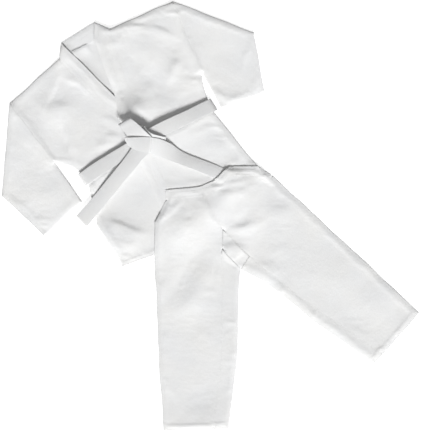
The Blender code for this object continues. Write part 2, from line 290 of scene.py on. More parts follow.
def coarse_sheet(name, height, mask):
    """A sheet of square faces on every third point of the raster.

    With it come its vertices' rows and columns in the raster, and how many faces use each of them.
    """
    number = -np.ones((ROWS, COLUMNS), int)
    rows, columns = np.nonzero(mask[::COARSE, ::COARSE])
    rows, columns = rows * COARSE, columns * COARSE
    number[rows, columns] = np.arange(len(rows))
    points = [(GRID_X[r, c], GRID_Y[r, c], height[r, c]) for r, c in zip(rows, columns)]
    faces = []
    used = np.zeros(len(rows), int)
    for r, c in zip(rows, columns):
        if r + COARSE >= ROWS or c + COARSE >= COLUMNS:
            continue
        face = (number[r, c], number[r, c + COARSE], number[r + COARSE, c + COARSE], number[r + COARSE, c])
        if min(face) >= 0:
            faces.append(tuple(int(k) for k in face))
            used[list(face)] += 1
    mesh = bpy.data.meshes.new(name)
    mesh.from_pydata(points, [], faces)
    return linked(name, mesh), rows, columns, used


def simulated(surface, under, mask, held, slack):
    """The layer with the wrinkles that Blender's Cloth gives it: its fabric is a little larger than its place.

    held marks where it stays put, besides its outline, and slack from 0 to 1 where it has extra fabric. The
    broad folds stay as they are, and the wrinkles are added to them.
    """
    low = under + CLEARANCE + 0.5 * CLOTH
    inside = mask.astype(float)
    table = coarse_sheet("table", surface - 0.5 * CLOTH - TABLE_GAP, blurred(inside, 0.006) > 0.02)[0]
    table.modifiers.new("Collision", "COLLISION")
    table.collision.thickness_outer = 0.0004
    table.collision.cloth_friction = 4.0
    sheet, rows, columns, used = coarse_sheet("sheet", surface - 0.5 * CLOTH, mask)
    still = np.where(used < 4, 1.0, held[rows, columns])
    pins = sheet.vertex_groups.new(name="pins")
    larger = sheet.vertex_groups.new(name="larger")
    for k in range(len(rows)):
        if still[k] > 0.02:
            pins.add([k], float(min(still[k], 1.0)), "REPLACE")
        larger.add([k], float(slack[rows[k], columns[k]]), "REPLACE")
    cloth = sheet.modifiers.new("Cloth", "CLOTH")
    for key, value in CLOTH_SETTINGS.items():
        setattr(cloth.settings, key, value)
    cloth.collision_settings.collision_quality = 2
    cloth.collision_settings.distance_min = 0.0006
    cloth.point_cache.frame_end = SIMULATED_FRAMES
    for number in range(1, SIMULATED_FRAMES + 1):
        bpy.context.scene.frame_set(number)
    shown = sheet.evaluated_get(bpy.context.evaluated_depsgraph_get())
    co = np.empty(len(rows) * 3)
    shown.data.vertices.foreach_get("co", co)
    moved = np.clip(co.reshape(-1, 3)[:, 2] - (surface - 0.5 * CLOTH)[rows, columns], -0.008, 0.008)
    # The free cloth has all sunk onto the table, and what is held hasn't: that isn't a wrinkle.
    change, weight = BLANK.copy(), BLANK.copy()
    change[rows, columns] = np.where(still < 0.5, moved - np.median(moved[still < 0.5]), 0.0)
    weight[rows, columns] = 1.0
    near, wide = (
        blurred(change, size) / np.maximum(blurred(weight, size), 1e-6) for size in (WRINKLE_SIZE, FOLD_SIZE)
    )
    change = np.clip(WRINKLES * (near - wide), -HIGHEST_WRINKLE, HIGHEST_WRINKLE)
    change *= smoothstep(blurred(inside, 0.012) * 2 - 1)
    for obj in (table, sheet):
        bpy.data.objects.remove(obj)
    bpy.context.scene.frame_set(1)
    return np.maximum(surface + np.where(mask, change, 0.0), low + 0.5 * CLOTH)


# ---------------------------------------------------------------- outlines from the CAD


def cad_outline(node):
    """The outline of a CAD slab, anticlockwise, from its upward faces."""
    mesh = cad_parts[node].data
    edges = {}
    points = {}
    for face in mesh.polygons:
        if face.normal.z < 0.3:
            continue
        keys = []
        for index in face.vertices:
            place = mesh.vertices[index].co
            key = (round(place.x * 1e4), round(place.y * 1e4))
            points[key] = (place.x, place.y)
            keys.append(key)
        for one, two in zip(keys, keys[1:] + keys[:1]):
            edges[one, two] = True
    after = {one: two for one, two in edges if (two, one) not in edges}
    start = min(after)
    loop = [start]
    while after[loop[-1]] != start:
        loop.append(after[loop[-1]])
    return simplified(np.array([points[key] for key in loop]))


def simplified(outline):
    """The outline without the points that lie on a straight line between their neighbours."""
    before = outline - np.roll(outline, 1, axis=0)
    after = np.roll(outline, -1, axis=0) - outline
    cross = np.abs(before[:, 0] * after[:, 1] - before[:, 1] * after[:, 0])
    return outline[cross > 2e-4 * np.linalg.norm(before, axis=1) * np.linalg.norm(after, axis=1) + 1e-9]


def joined(upper, lower, knee):
    """Two outlines that meet at a straight cut, as one outline."""
    origin, direction = np.array(knee[0]), np.array(knee[1])
    parts = []
    for outline in (upper, lower):
        at_cut = np.abs((outline - origin) @ direction) < 0.0006
        first = next(k for k in range(len(outline)) if at_cut[k] and not at_cut[(k + 1) % len(outline)])
        turned = np.roll(outline, -first - 1, axis=0)
        parts.append(turned[~np.roll(at_cut, -first - 1)])
    return simplified(np.vstack(parts))


def cad_underside(nodes):
    """Height of the underside of CAD nodes on every second point of the raster, and where that is."""
    height, known = BLANK.copy(), BLANK > 0.0
    for node in nodes:
        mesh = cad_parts[node].data
        tree = BVHTree.FromPolygons([v.co for v in mesh.vertices], [p.vertices for p in mesh.polygons])
        for row, column in np.argwhere(mask_of(cad_outline(node))):
            if (row + column) % 2:
                continue
            start = Vector((GRID_X[row, column], GRID_Y[row, column], -1.0))
            hit = tree.ray_cast(start, Vector((0.0, 0.0, 1.0)))[0]
            if hit is not None:
                height[row, column] = hit.z
                known[row, column] = True
    return height, known


# ---------------------------------------------------------------- materials


class Nodes:
    """A short way to wire a material."""

    def __init__(self, name):
        self.made = bpy.data.materials.new(name)
        self.made.use_nodes = True
        self.tree = self.made.node_tree
        self.shader = self.tree.nodes["Principled BSDF"]

    def add(self, kind, inputs=(), **settings):
        node = self.tree.nodes.new(kind)
        for key, value in settings.items():
            setattr(node, key, value)
        for socket, value in inputs:
            if isinstance(value, bpy.types.NodeSocket):
                self.tree.links.new(value, node.inputs[socket])
            else:
                node.inputs[socket].default_value = value
        return node

    def math(self, operation, one, two=0.0):
        return self.add("ShaderNodeMath", [(0, one), (1, two)], operation=operation).outputs[0]

    def link(self, output, socket):
        self.tree.links.new(output, self.shader.inputs[socket])


def grain_of(nodes, scale, turn=0.0):
    """The cloth's own coordinates, which are metres along its threads, scaled and turned."""
    grain = nodes.add("ShaderNodeAttribute", attribute_name="grain").outputs["Vector"]
    mapped = nodes.add("ShaderNodeMapping", [("Vector", grain), ("Scale", scale), ("Rotation", (0, 0, turn))])
    return mapped.outputs[0]


def noise_of(nodes, vector, scale, detail=3.0, rough=0.55):
    inputs = [("Vector", vector), ("Scale", scale), ("Detail", detail), ("Roughness", rough)]
    return nodes.add("ShaderNodeTexNoise", inputs).outputs["Fac"]


def wave_of(nodes, vector, pitch, direction):
    """Bands of that pitch in metres. A Wave texture's period is pi / 10 of its scale's inverse."""
    inputs = [("Vector", vector), ("Scale", 0.314159 / pitch), ("Distortion", 0.0)]
    return nodes.add("ShaderNodeTexWave", inputs, bands_direction=direction).outputs["Fac"]


def ramp(nodes, factor, low, high, cold, warm):
    """A colour between two tints as the factor goes from low to high."""
    share = nodes.add("ShaderNodeMapRange", [(0, factor), (1, low), (2, high)]).outputs[0]
    mixed = nodes.add("ShaderNodeMix", [(0, share), (6, (*cold, 1.0)), (7, (*warm, 1.0))], data_type="RGBA")
    return mixed.outputs[2]


def multiplied(nodes, colour, factor, low, high):
    """The colour darkened by a grey that runs from low to high with the factor."""
    grey = nodes.add("ShaderNodeMapRange", [(0, factor), (3, low), (4, high)]).outputs[0]
    tone = nodes.add("ShaderNodeCombineColor", [(0, grey), (1, grey), (2, grey)]).outputs[0]
    inputs = [(0, 1.0), (6, colour), (7, tone)]
    return nodes.add("ShaderNodeMix", inputs, data_type="RGBA", blend_type="MULTIPLY").outputs[2]


def woven(name, tint, pitch, weave_depth, crumple_depth, twill=False):
    """Cotton: two sets of threads crossing, uneven yarns, faint mottling and fine crumples."""
    nodes = Nodes(name)
    plain = grain_of(nodes, (1.0, 1.0, 1.0), math.radians(38.0) if twill else 0.0)
    weft = wave_of(nodes, plain, pitch, "X")
    warp = wave_of(nodes, plain, pitch, "Y")
    checks = nodes.add("ShaderNodeTexChecker", [("Vector", plain), ("Scale", 1.0 / pitch)]).outputs["Fac"]
    over = nodes.add("ShaderNodeMix", [(0, checks), (2, weft), (3, warp)]).outputs[0]
    long_yarn = noise_of(nodes, grain_of(nodes, (1.0, 0.06, 1.0)), 900.0, 2.0)
    cross_yarn = noise_of(nodes, grain_of(nodes, (0.06, 1.0, 1.0)), 900.0, 2.0)
    yarns = nodes.math("ADD", long_yarn, cross_yarn)
    mottle = noise_of(nodes, plain, 9.0, 4.0)
    crumple = noise_of(nodes, plain, 120.0, 4.0, 0.6)
    wear = noise_of(nodes, plain, 34.0, 5.0, 0.65)
    cold = tuple(channel * 0.985 for channel in tint)
    warm = (tint[0] * 1.012, tint[1] * 1.004, tint[2] * 0.988)
    colour = ramp(nodes, mottle, 0.35, 0.65, cold, warm)
    for factor, low, high in ((yarns, 0.955, 1.035), (over, 0.955, 1.0), (wear, 0.97, 1.02)):
        colour = multiplied(nodes, colour, factor, low, high)
    nodes.link(colour, "Base Color")
    dull = nodes.add("ShaderNodeMapRange", [(0, wear), (1, 0.3), (2, 0.7), (3, 0.80), (4, 0.95)]).outputs[0]
    nodes.link(dull, "Roughness")
    bumps = ((over, weave_depth, 0.7), (yarns, weave_depth * 0.6, 0.6), (crumple, crumple_depth, 0.8))
    below = []
    for height, depth, strength in bumps:
        inputs = [("Height", height), ("Distance", depth), ("Strength", strength)]
        below = [("Normal", nodes.add("ShaderNodeBump", inputs + below).outputs[0])]
    nodes.link(below[0][1], "Normal")
    for socket, value in (("Specular IOR Level", 0.28), ("Sheen Weight", 0.18), ("Sheen Roughness", 0.45)):
        nodes.shader.inputs[socket].default_value = value
    return nodes.made


COTTON_TINT = (0.775, 0.780, 0.785)
WEBBING_TINT = (0.725, 0.730, 0.735)
THREAD_TINT = (0.80, 0.80, 0.79)
jacket_cotton = woven("jacket_cotton", COTTON_TINT, 0.0011, 0.00010, 0.0005)
trousers_cotton = woven("trousers_cotton", COTTON_TINT, 0.0010, 0.00009, 0.0005)
belt_webbing = woven("belt_webbing", WEBBING_TINT, 0.0014, 0.00022, 0.0003, twill=True)
thread = woven("sewing_thread", THREAD_TINT, 0.0005, 0.00008, 0.0001, twill=True)


# ---------------------------------------------------------------- meshes


class Shell:
    """Points, faces, each point's grain and each face's material, gathered into one mesh."""

    def __init__(self):
        self.points, self.grain, self.faces, self.finish = [], [], [], []
        self.count = 0

    def add(self, points, grain, faces, finish=0):
        self.points.append(np.asarray(points, float))
        self.grain.append(np.asarray(grain, float))
        self.faces += [tuple(int(k) + self.count for k in face) for face in faces]
        self.finish += [finish] * len(faces)
        self.count += len(points)

    def build(self, name, materials, sharp=(), count=0, layer=0, creases=()):
        """The mesh as an object. Ring edges listed as sharp keep the flat look of a seam."""
        points = np.vstack(self.points)
        points[:, :2] += np.stack([sample(WARP_X, points), sample(WARP_Y, points)], axis=1)
        mesh = bpy.data.meshes.new(name)
        mesh.from_pydata(points.tolist(), [], self.faces)
        grain = np.zeros((len(points), 3), np.float32)
        grain[:, :2] = np.vstack(self.grain)[:, :2]
        mesh.attributes.new("grain", "FLOAT_VECTOR", "POINT").data.foreach_set("vector", grain.ravel())
        for finish in materials:
            mesh.materials.append(finish)
        mesh.polygons.foreach_set("material_index", self.finish)
        mesh.polygons.foreach_set("use_smooth", [True] * len(self.faces))
        seams = {frozenset((int(k), (int(k) + 1) % count)) for k in sharp}
        seams |= {frozenset(k + layer for k in seam) for seam in seams}
        seams |= {frozenset(pair) for pair in creases}
        flags = [frozenset(edge.vertices) in seams for edge in mesh.edges]
        mesh.attributes.new("sharp_edge", "BOOLEAN", "EDGE").data.foreach_set("value", flags)
        mesh.update()
        return linked(name, mesh)


HEXAGON = 0.866
LOWEST, LOWEST_TOP = 0.0001, 0.0008
SHORTEST_ROW = 0.03
STITCH_PITCH = 0.0034
STITCH_WIDTH = 0.00034
WARP_X = noise(11, 0.020, 0.0008)
WARP_Y = noise(12, 0.020, 0.0008)


def resampled(outline, spacing):
    """The outline with points no further apart than the spacing, its corners kept."""
    made = []
    for here, there in zip(outline, np.roll(outline, -1, axis=0)):
        count = max(1, int(round(np.linalg.norm(there - here) / spacing)))
        made += [here + (there - here) * k / count for k in range(count)]
    return np.array(made)


def left_of(steps):
    """Unit vectors to the left of each step."""
    t = steps / np.linalg.norm(steps, axis=1)[:, None]
    return np.stack([-t[:, 1], t[:, 0]], axis=1)


def inward(ring):
    """The unit vector into an anticlockwise ring at each of its points."""
    return left_of(np.roll(ring, -1, axis=0) - np.roll(ring, 1, axis=0))


def rail(ring, distance):
    """Points that far inside a closed ring, leaving out those that fall too near it elsewhere."""
    moved = ring + distance * inward(ring)
    far = far_from(ring, moved)
    return moved[(far > 0.92 * distance) & contains(ring, moved[:, 0], moved[:, 1])]


def inside_only(ring, points):
    """The points that are well inside the ring."""
    return points[contains(ring, points[:, 0], points[:, 1]) & (far_from(ring, points) > 0.001)]


def far_from(ring, points, closed=True):
    """Each point's distance from a ring or a path."""
    path = np.vstack([ring, ring[:1]]) if closed else np.asarray(ring)
    return np.abs(nearest(path, points[:, 0], points[:, 1])[0])


def flat_mesh(ring, spacing, rails):
    """Points and triangles that fill a ring: the ring first, then points on rails, then a hexagonal grid."""
    low, high = ring.min(axis=0), ring.max(axis=0)
    rows = int((high[1] - low[1]) / (spacing * HEXAGON)) + 1
    columns = int((high[0] - low[0]) / spacing) + 2
    x, y = np.meshgrid(np.arange(columns) * spacing, np.arange(rows) * spacing * HEXAGON)
    x[1::2] += spacing / 2
    points = np.stack([x.ravel() + low[0], y.ravel() + low[1]], axis=1)
    points = points[contains(ring, points[:, 0], points[:, 1])]
    points = points[far_from(ring, points) > 0.6 * spacing]
    kept = [ring]
    for points_of_rail in list(rails) + [points]:
        tree = KDTree(sum(len(part) for part in kept))
        for index, place in enumerate(np.vstack(kept)):
            tree.insert((*place, 0.0), index)
        tree.balance()
        limit = 0.55 * spacing if points_of_rail is points else 0.0006
        far = np.array([tree.find((*place, 0.0))[2] > limit for place in points_of_rail], bool)
        kept.append(points_of_rail[far])
    every = np.vstack(kept)
    ring_edges = [(k, (k + 1) % len(ring)) for k in range(len(ring))]
    vectors = [Vector(p) for p in every]
    made, _, faces, _, _, _ = delaunay_2d_cdt(vectors, ring_edges, [list(range(len(ring)))], 1, 1e-6)
    made = np.array([(p.x, p.y) for p in made])
    oriented = []
    for one, two, three in faces:
        u, v = made[two] - made[one], made[three] - made[one]
        oriented.append((one, two, three) if u[0] * v[1] - u[1] * v[0] > 0 else (one, three, two))
    return made, oriented


def rim_edges(triangles):
    """The edges that only one triangle has."""
    edges = {(face[k], face[(k + 1) % 3]) for face in triangles for k in range(3)}
    return [edge for edge in edges if (edge[1], edge[0]) not in edges]


def grain_from(points, turn):
    """Each point's place along the cloth's threads."""
    points = np.asarray(points)
    cosine, sine = math.cos(turn), math.sin(turn)
    x, y = points[:, 0], points[:, 1]
    return np.stack([x * cosine + y * sine, y * cosine - x * sine], axis=1)


def stitches(shell, path, height_of, grain_turn):
    """A row of stitches along a path, as small pointed beads half sunk in the cloth."""
    path = np.asarray(path, float)
    done = travelled(path)
    at = np.arange(STITCH_PITCH / 2, done[-1], STITCH_PITCH)
    if len(at) < 2:
        return
    x, y = np.interp(at, done, path[:, 0]), np.interp(at, done, path[:, 1])
    ahead = at + 0.0004
    dx, dy = np.interp(ahead, done, path[:, 0]) - x, np.interp(ahead, done, path[:, 1]) - y
    size = np.maximum(np.hypot(dx, dy), 1e-9)
    t = np.stack([dx / size, dy / size], axis=1)
    n = np.stack([-t[:, 1], t[:, 0]], axis=1)
    middle = np.stack([x, y], axis=1)
    half = 0.36 * STITCH_PITCH
    shape = [(-half, 0, -0.5), (0, -1, 0.1), (0, 0, 0.95), (0, 1, 0.1), (0, 0, -0.8), (half, 0, -0.5)]
    rings = []
    for along, across, up in shape:
        flat = middle + along * t + across * STITCH_WIDTH * n
        z = height_of(flat) + up * STITCH_WIDTH
        rings.append(np.column_stack([flat, z]))
    points = np.stack(rings, axis=1).reshape(-1, 3)
    faces = []
    for k in range(len(at)):
        s = 6 * k
        for one, two in ((1, 2), (2, 3), (3, 4), (4, 1)):
            faces.append((s, s + two, s + one))
            faces.append((s + 5, s + one, s + two))
    shell.add(points, grain_from(points, grain_turn + 0.6), faces, finish=1)


class Edges:
    """Which parts of a panel's ring are hems, which roll down to the cloth below and which are seams."""

    def __init__(self, ring, hems, beside):
        steps = np.roll(ring, -1, axis=0) - ring
        middle = 0.5 * (ring + np.roll(ring, -1, axis=0))
        outward = middle - 0.003 * left_of(steps)
        seam = np.zeros(len(ring), bool)
        for node in beside:
            seam |= contains(outlines[node], outward[:, 0], outward[:, 1])
        hem = np.zeros(len(ring), bool)
        for path in hems:
            hem |= far_from(path, middle, closed=False) < 0.004
        self.ring = ring
        self.seam = seam & ~hem
        self.hem = hem
        self.roll = ~seam & ~hem

    def runs(self, kind):
        """The stretches of ring of one kind, each as a path."""
        flags = getattr(self, kind)
        count = len(flags)
        if not flags.any():
            return []
        if flags.all():
            return [np.vstack([self.ring, self.ring[:1]])]
        made = []
        for start in range(count):
            if flags[start] and not flags[start - 1]:
                indices = [start]
                while flags[indices[-1] % count]:
                    indices.append(indices[-1] + 1)
                made.append(self.ring[[k % count for k in indices]])
        return made

    def far(self, kind, points):
        """Each point's distance from the nearest edge of one kind."""
        best = np.full(len(points), 9.0)
        for run in self.runs(kind):
            best = np.minimum(best, far_from(run, points, closed=False))
        return best


def grown(ring, flags, distance):
    """The ring with its flagged edges moved outwards, so that it meets the piece sewn to it."""
    both = (flags & np.roll(flags, 1)).astype(float)
    return ring - distance * both[:, None] * inward(ring)


def inset(run, distance, trim=0.0):
    """A path moved to the left of its direction, shortened at both ends."""
    moved = run + distance * left_of(np.gradient(run, axis=0))
    keep = int(trim / 0.004)
    return moved[keep : len(moved) - keep] if len(moved) > 2 * keep + 2 else moved


def hem_rails(ring, run, width):
    """Two rows of points, on both sides of the edge where a hem's turned-up cloth ends."""
    return [inside_only(ring, inset(run, width + side)) for side in (-HEM_EDGE / 2, HEM_EDGE / 2)]


def doubled(far, width=HEM_WIDTH, step=HEM_STEP):
    """How much a hem's turned-up cloth adds to the height, at that distance from the hem."""
    return step * (1.0 - smoothstep((far - width + HEM_EDGE / 2) / HEM_EDGE))


def rounded(far, radius):
    """A quarter round: 0 at the edge, 1 from the radius inwards."""
    share = np.clip(far / radius, 0.0, 1.0)
    return np.sqrt(np.maximum(1.0 - (1.0 - share) ** 2, 0.0))


def copied(triangles, offset, flip):
    """The triangles of one more layer of the same points, turned over or not."""
    if flip:
        return [(c + offset, b + offset, a + offset) for a, b, c in triangles]
    return [(a + offset, b + offset, c + offset) for a, b, c in triangles]


def panel(name, node, surface, under, materials, turn, hems=(), beside=(), rows=(), free=(), sunk=0.0,
          spacing=SPACING, hem_width=HEM_WIDTH, hem_step=HEM_STEP, roll=ROLL):
    """One cloth panel: a closed shell whose upper side is the surface, with hems, rolled edges and stitches.

    beside names the outlines it is sewn to. rows are (kind, distance) pairs: stitch rows that far inside the
    hems or seams. The cloth is pressed down along its hems and free edges, by sunk more than usual, and free
    holds edges of other panels that press it down as well.
    """
    ring = resampled(outlines[node], spacing)
    edges = Edges(ring, hems, beside)
    ring = grown(ring, edges.seam, SEAM_GAP)
    rails = [rail(ring, distance) for distance in ROLL_RAILS]
    if hem_step:
        for run in edges.runs("hem"):
            rails += hem_rails(ring, run, hem_width)
    points, triangles = flat_mesh(ring, spacing, rails)

    def raised(where):
        """The upper side's height, the distance from the hems and how much the edges press the cloth down."""
        far_hem, far_roll = edges.far("hem", where), edges.far("roll", where)
        for run in free:
            far_roll = np.minimum(far_roll, far_from(run, where, closed=False))
        pressed = 1.0 - smoothstep(np.minimum(far_hem, far_roll) / PRESSED_WIDTH)
        rest = sample(under, where) + CLEARANCE + CLOTH
        z = np.maximum(sample(surface, where), rest) + doubled(far_hem, hem_width, hem_step)
        return rest + (z - rest) * rounded(far_roll, roll) - (PRESSED + sunk) * pressed, far_hem, pressed

    z, far_hem, pressed = raised(points)
    z = np.maximum(z, LOWEST_TOP)
    rest = sample(under, points) + 0.5 * CLEARANCE - sunk * pressed
    bottom = np.maximum(z - CLOTH - hem_step * (far_hem < hem_width), rest)
    bottom = np.maximum(np.minimum(bottom, z - 0.3 * CLOTH), LOWEST)
    shell = Shell()
    both = np.vstack([np.column_stack([points, z]), np.column_stack([points, bottom])])
    size = len(points)
    faces = copied(triangles, 0, False) + copied(triangles, size, True)
    faces += [(b, a, a + size, b + size) for a, b in rim_edges(triangles)]
    shell.add(both, grain_from(both, turn), faces)
    for kind, distance in rows:
        for run in edges.runs(kind):
            if travelled(run)[-1] > SHORTEST_ROW:
                path = inset(run, distance, trim=0.006)
                stitches(shell, path, lambda where: raised(where)[0] + 0.0001, turn)
    return shell.build(name, materials, sharp=np.nonzero(~edges.roll)[0], count=len(ring), layer=size)


def laid_on(under, top, mask):
    """The upper side of everything laid so far, with one more layer on it."""
    return np.where(mask, np.maximum(under, top), under)


# ---------------------------------------------------------------- outlines

KNEES = {
    "right": ((-0.0366, -0.3907), (0.0, -1.0)),
    "left": ((0.3324, -0.1807), (0.7539, -0.6570)),
}
outlines = {node: cad_outline(node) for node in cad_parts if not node.startswith("belt")}
for side, knee in KNEES.items():
    for layer in ("front", "back", "gusset"):
        parts = outlines[f"{side}_thigh_{layer}"], outlines[f"{side}_shin_{layer}"]
        outlines[f"{side}_leg_{layer}"] = joined(*parts, knee)


# The left hip runs straight on from the waistband's corner.
HIP = path_mm(179.5, 116.5, 216, 83.4)


def widened(outline, extra):
    """The outline with its vertex nearest to the extra points followed by them."""
    corner = int(np.argmin(np.linalg.norm(outline - np.array(extra[0]), axis=1)))
    before, after = outline[corner - 1], outline[(corner + 1) % len(outline)]
    last = np.array(extra[-1])
    if np.linalg.norm(after - last) < np.linalg.norm(before - last):
        return np.vstack([outline[: corner + 1], extra, outline[corner + 1 :]])
    return np.vstack([outline[:corner], extra[::-1], outline[corner:]])


for layer in ("front", "back"):
    outlines[f"left_leg_{layer}"] = widened(outlines[f"left_leg_{layer}"], HIP)


def union(*names):
    """Where any of these outlines is, with the half-millimetre gaps between them closed."""
    mask = BLANK > 0.0
    for name in names:
        mask |= mask_of(outlines[name])
    return blurred(mask.astype(float), STEP) > 0.5


def base_of(nodes, lift):
    """The smoothed height at which the cloth of these CAD nodes lies."""
    return spread(*cad_underside(nodes), SMOOTHING) + lift


LEG_TURNS = {"right": math.radians(-88.0), "left": math.radians(-41.0)}

# Hems, as paths near them.
JACKET_HEM = jacket_mm(-281, 630, -191, 651, 213, 640)
RIGHT_CUFF_HEM = jacket_mm(-463, 266, -422, 431)
LEFT_CUFF_HEM = jacket_mm(411, 267, 343, 430)
LEG_HEMS = {
    "right": path_mm(-137.6, -624.7, 53.4, -618.7),
    "left": path_mm(607.4, -281.7, 474.4, -429.7),
}
RIGHT_FREE = jacket_mm(-74, -14, -30, 205, 30, 360, 70, 646)
LEFT_FREE = jacket_mm(38, -10, 9, 34, -30, 205, -59, 283, -79, 426, -117, 648)
COLLAR_FREE = jacket_mm(-74, -14, 38, -10)
WAIST_FREE = path_mm(-131.6, 74.3, -30.6, 86.3, 7.4, 101.3, 53.4, 144.3, 137.4, 144.3, 178.4, 118.3)

# ---------------------------------------------------------------- jacket layers

SLEEVE_HEIGHT = 0.0056
relief = noise(3, 0.030, 0.0005) + noise(4, 0.009, 0.00016)

back_mask = union("jacket_back")
back_top = base_of(["jacket_back"], 0.0016) + 0.5 * relief
back_top = settled(back_top, BLANK + CLEARANCE + CLOTH, 20, 0.05)
# The collar lies on the back between the two lapels, and the back bulges along its lower edge.
collar_top = blurred(laid_on(BLANK, back_top, back_mask), 0.004) + 0.0016
fold(back_top, path_mm(-402, 474, -380.5, 485.5, -355, 498), 3, 3.5, 22, (0.1, 0.15))
fold(back_top, jacket_mm(-78, -6, -57, 90, -34, 200), 3.4, 15, 30, (0.1, 0.3))
jacket_under = laid_on(BLANK, back_top, back_mask)

# The belt pulls the cloth in above it, and the cloth bulges out below.
ABOVE_BELT = path_mm(-245, 327, -140, 328, -35, 329, 80, 336, 205, 352)
BELOW_BELT = jacket_mm(-245, 380, -140, 380, -35, 380, 80, 389, 205, 404)


def belt_pull(field):
    """The folds that the belt makes across both fronts."""
    fold(field, jacket(ABOVE_BELT), -2.6, 22, 16, (0.02, 0.02))
    fold(field, jacket([*ABOVE_BELT[3:], *path_mm(215, 353)]), -3, 26, 16, (0.4, 0.4))
    fold(field, BELOW_BELT, 2.4, 3.5, 36, (0.04, 0.04))


def jacket_front(nodes, lift, mask, sleeve_mask):
    """A front's height before its folds, with its sleeve beside it."""
    height = np.where(sleeve_mask & ~mask, SLEEVE_HEIGHT, base_of(nodes, lift))
    return blurred(height, 0.008) + relief


right_mask, right_sleeve_mask = union("jacket_front_right", "lapel_right", "collar_back"), union("right_sleeve")
right_top = jacket_front(["jacket_front_right", "lapel_right"], 0.0022, right_mask, right_sleeve_mask)

# The stiff lapel stands up along the neck.
fold(right_top, jacket_mm(-79, -6, -56, 90, -30, 205, 0, 285), 3.6, 30, 45, (0.04, 0.75))
RIGHT_FRONT_FOLDS = [
    (2.6, 7, 22, -92, 33, -121, 56, -163, 84, -208, 110, -255, 144),
    (4.4, 20, 45, -250, 116, -189, 144, -140, 168),
    (3.2, 18, 6, -135, 75, -114, 95, -96, 121, -87, 172),
    (-2.2, 8, 10, -201, 160, -219, 214, -232, 278),
    (2, 10, 12, -194, 190, -206, 250, -214, 300),
    (2.6, 6, 14, -101, 225, -73, 257, -57, 295),
    (2.4, 6, 14, -128, 277, -95, 295, -72, 330),
    (2, 7, 16, -165, 291, -119, 306, -87, 331),
    (5.8, 9, 105, -265, 471, -220, 525, -162, 607),
    (1.5, 10, 20, -273, 542, -206, 610),
    (1.5, 5, 10, -217, 371, -230, 418),
]
folds(right_top, RIGHT_FRONT_FOLDS)
RIGHT_SLEEVE_FOLDS = [
    (2.2, 8, 10, -426, 374, -400, 387, -375, 413),
    (1.4, 6, 10, -350, 395, -315, 394, -272, 387),
    (1.2, 10, 20, -451, 285, -428, 313, -399, 343),
    (1.4, 20, 30, -420, 274, -367, 325, -283, 356),
    (1.2, 20, 30, -300, 100, -360, 200, -400, 250),
]
folds(right_top, RIGHT_SLEEVE_FOLDS)
RIGHT_ARMHOLE = jacket_mm(-299, 50, -285, 119, -282, 194, -279, 272)
fold(right_top, RIGHT_ARMHOLE, 3.4, 6.5, 30, (0.04, 0.04))

belt_pull(right_top)
right_top = settled(right_top, jacket_under + CLEARANCE + CLOTH, 25, 0.08)
far_from_belt = np.abs(nearest(jacket(ABOVE_BELT), GRID_X, GRID_Y)[0])
belt_middle = jacket([(a, b + 0.024) for a, b in ABOVE_BELT])
under_belt = (np.abs(nearest(belt_middle, GRID_X, GRID_Y)[0]) < 0.022).astype(float)
near_belt = 0.45 + 0.55 * np.exp(-((far_from_belt / 0.10) ** 2))
right_top = simulated(right_top, jacket_under, right_mask | right_sleeve_mask, under_belt, near_belt)
after_right = laid_on(jacket_under, right_top, right_mask)

left_mask, left_sleeve_mask = union("jacket_front_left", "lapel_left"), union("left_sleeve")
left_top = jacket_front(["jacket_front_left", "lapel_left"], 0.0018, left_mask, left_sleeve_mask)
LEFT_FRONT_FOLDS = [
    (4.8, 7, 30, 61, 36, 121, 61, 168, 95, 199, 133, 224, 180),
    (2.2, 18, 10, 95, 22, 141, 45, 183, 80, 215, 118),
    (2.2, 5, 18, 19, 50, 58, 76, 99, 103),
    (2.8, 16, 34, 60, 135, 110, 118, 160, 128),
    (1.6, 14, 16, 165, 100, 130, 165, 95, 220),
    (2.4, 14, 30, 203, 204, 163, 227, 112, 263),
    (1.8, 7, 14, 152, 261, 180, 283, 206, 310),
    (9, 34, 22, -50, 296, -8, 272, 38, 284),
    (2, 8, 10, -20, 200, -20, 260, -12, 320),
    (2.8, 14, 12, 90, 205, 55, 257, 30, 310),
    (-1, 12, 12, 96, 294, 139, 318, 196, 342),
    (2.4, 7, 24, 99, 440, 127, 423, 165, 432, 185, 470),
    (3.6, 30, 30, 84, 450, 133, 475, 171, 526),
    (-3, 10, 12, 160, 557, 193, 571, 219, 585),
    (1.4, 20, 20, -50, 470, -60, 560, -70, 640),
]
folds(left_top, LEFT_FRONT_FOLDS)
fold(left_top, path_mm(-196.5, 510, -191, 452, -202, 394), 2.6, 45, 9)
fold(left_top, path_mm(-100, 466, -109, 408, -126, 372), 3, 30, 12)
LEFT_SLEEVE_FOLDS = [
    (2.4, 6, 8, 381, 303, 355, 310, 340, 339),
    (2.4, 6, 8, 354, 375, 331, 395, 322, 420),
    (3, 6, 12, 212, 328, 234, 370, 260, 393, 299, 402),
    (1.2, 12, 14, 234, 290, 261, 328, 285, 386),
    (1.2, 14, 18, 261, 274, 296, 317, 324, 369),
    (1.2, 24, 24, 275, 110, 330, 190, 370, 270),
]
folds(left_top, LEFT_SLEEVE_FOLDS)
LEFT_ARMHOLE = jacket_mm(265, 58, 243, 131, 232, 184, 227, 237, 220, 285)
fold(left_top, LEFT_ARMHOLE, 4, 6, 26, (0.04, 0.04))
belt_pull(left_top)
# The left front rolls gently down into the neck.
fold(left_top, jacket_mm(52, 10, 30, 60, 12, 130, -10, 205), 3.4, 40, 14, (0.1, 0.3))
fold(left_top, jacket_mm(22, 24, -1, 110, -22, 200), 3.4, 9, 6, (0.15, 0.3))
